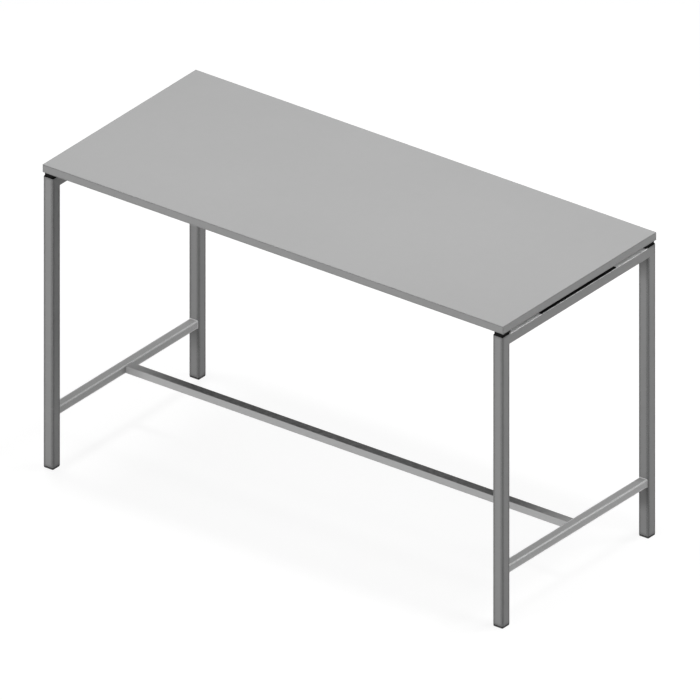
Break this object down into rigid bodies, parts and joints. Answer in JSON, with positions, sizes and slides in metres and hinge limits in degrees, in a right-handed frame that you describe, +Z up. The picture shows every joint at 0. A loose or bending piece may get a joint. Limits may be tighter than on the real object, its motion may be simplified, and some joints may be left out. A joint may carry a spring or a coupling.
{
  "type": "standing meeting table",
  "caption": "Bar-height meeting table: rectangular board top floating over a square-tube steel frame, with a shadow gap, black leg caps, an H-shaped footrest and levelling glides.",
  "frame": {"origin": "on the floor, under the middle of the top", "axes": "+X along the length, +Y to the back across the depth, +Z up"},
  "size_m": [1.8, 0.793, 1.067],
  "materials": {
    "top_face": "pale grey melamine facing, matt, fine pearl texture",
    "top_edge": "grey edge band, matt",
    "frame_paint": "silver grey powder coat, satin",
    "footrest_paint": "lighter silver grey powder coat, satin, slightly scuffed",
    "beam_paint": "silver grey powder coat, satin",
    "black_paint": "black powder coat, matt",
    "spigot_steel": "plain mill finish",
    "black_plastic": "black moulded, fine grain",
    "glide_plastic": "dark moulded, slightly scuffed sole",
    "stem_steel": "zinc plated thread",
    "zinc": "bright zinc plated"
  },
  "bodies": {
    "root": {"tabletop_board": "top_face", "edge_band_front": "top_edge", "edge_band_back": "top_edge", "edge_band_left": "top_edge", "edge_band_right": "top_edge", "tabletop_inserts": "zinc", "tabletop_screws": "zinc", "beam_bolts": "zinc", "crossbar_rivet_nuts": "zinc", "footrest_screws": "zinc", "leg_front_left": "frame_paint", "leg_front_right": "frame_paint", "leg_back_left": "frame_paint", "leg_back_right": "frame_paint", "crossbar_left": "frame_paint", "crossbar_right": "frame_paint", "footrest_rail_left": "footrest_paint", "footrest_rail_right": "footrest_paint", "footrest_long_rail": "footrest_paint", "beam_front": "beam_paint", "beam_back": "beam_paint", "beam_plate_front_left": "beam_paint", "beam_plate_front_right": "beam_paint", "beam_plate_back_left": "beam_paint", "beam_plate_back_right": "beam_paint", "beam_bracket_left": "black_paint", "beam_bracket_right": "black_paint", "footrest_spigot_left": "spigot_steel", "footrest_spigot_right": "spigot_steel", "leg_cap_front_left": "black_plastic", "leg_cap_front_right": "black_plastic", "leg_cap_back_left": "black_plastic", "leg_cap_back_right": "black_plastic", "glide_insert_front_left": "black_plastic", "glide_insert_front_right": "black_plastic", "glide_insert_back_left": "black_plastic", "glide_insert_back_right": "black_plastic"},
    "glide_front_left": {"glide_pad_front_left": "glide_plastic"},
    "stem_front_left": {"glide_stem_front_left": "stem_steel"},
    "glide_front_right": {"glide_pad_front_right": "glide_plastic"},
    "stem_front_right": {"glide_stem_front_right": "stem_steel"},
    "glide_back_left": {"glide_pad_back_left": "glide_plastic"},
    "stem_back_left": {"glide_stem_back_left": "stem_steel"},
    "glide_back_right": {"glide_pad_back_right": "glide_plastic"},
    "stem_back_right": {"glide_stem_back_right": "stem_steel"}
  },
  "joints": [
    {"name": "glide_front_left_drop", "type": "slide", "parent": "root", "child": "glide_front_left", "axis": [0, 0, -1], "range_m": [0, 0.012]},
    {"name": "stem_front_left_turn", "type": "hinge", "parent": "glide_front_left", "child": "stem_front_left", "pos_m": [-0.8785, -0.377, 0.02], "axis": [0, 0, -1], "range_deg": [0, 3460]},
    {"name": "glide_front_right_drop", "type": "slide", "parent": "root", "child": "glide_front_right", "axis": [0, 0, -1], "range_m": [0, 0.012]},
    {"name": "stem_front_right_turn", "type": "hinge", "parent": "glide_front_right", "child": "stem_front_right", "pos_m": [0.8785, -0.377, 0.02], "axis": [0, 0, -1], "range_deg": [0, 3460]},
    {"name": "glide_back_left_drop", "type": "slide", "parent": "root", "child": "glide_back_left", "axis": [0, 0, -1], "range_m": [0, 0.012]},
    {"name": "stem_back_left_turn", "type": "hinge", "parent": "glide_back_left", "child": "stem_back_left", "pos_m": [-0.8785, 0.377, 0.02], "axis": [0, 0, -1], "range_deg": [0, 3460]},
    {"name": "glide_back_right_drop", "type": "slide", "parent": "root", "child": "glide_back_right", "axis": [0, 0, -1], "range_m": [0, 0.012]},
    {"name": "stem_back_right_turn", "type": "hinge", "parent": "glide_back_right", "child": "stem_back_right", "pos_m": [0.8785, 0.377, 0.02], "axis": [0, 0, -1], "range_deg": [0, 3460]}
  ],
  "couplings": [
    {"joint": "stem_front_left_turn", "follows": "glide_front_left_drop", "rad_per_m": 5026.5},
    {"joint": "stem_front_right_turn", "follows": "glide_front_right_drop", "rad_per_m": 5026.5},
    {"joint": "stem_back_left_turn", "follows": "glide_back_left_drop", "rad_per_m": 5026.5},
    {"joint": "stem_back_right_turn", "follows": "glide_back_right_drop", "rad_per_m": 5026.5}
  ]
}
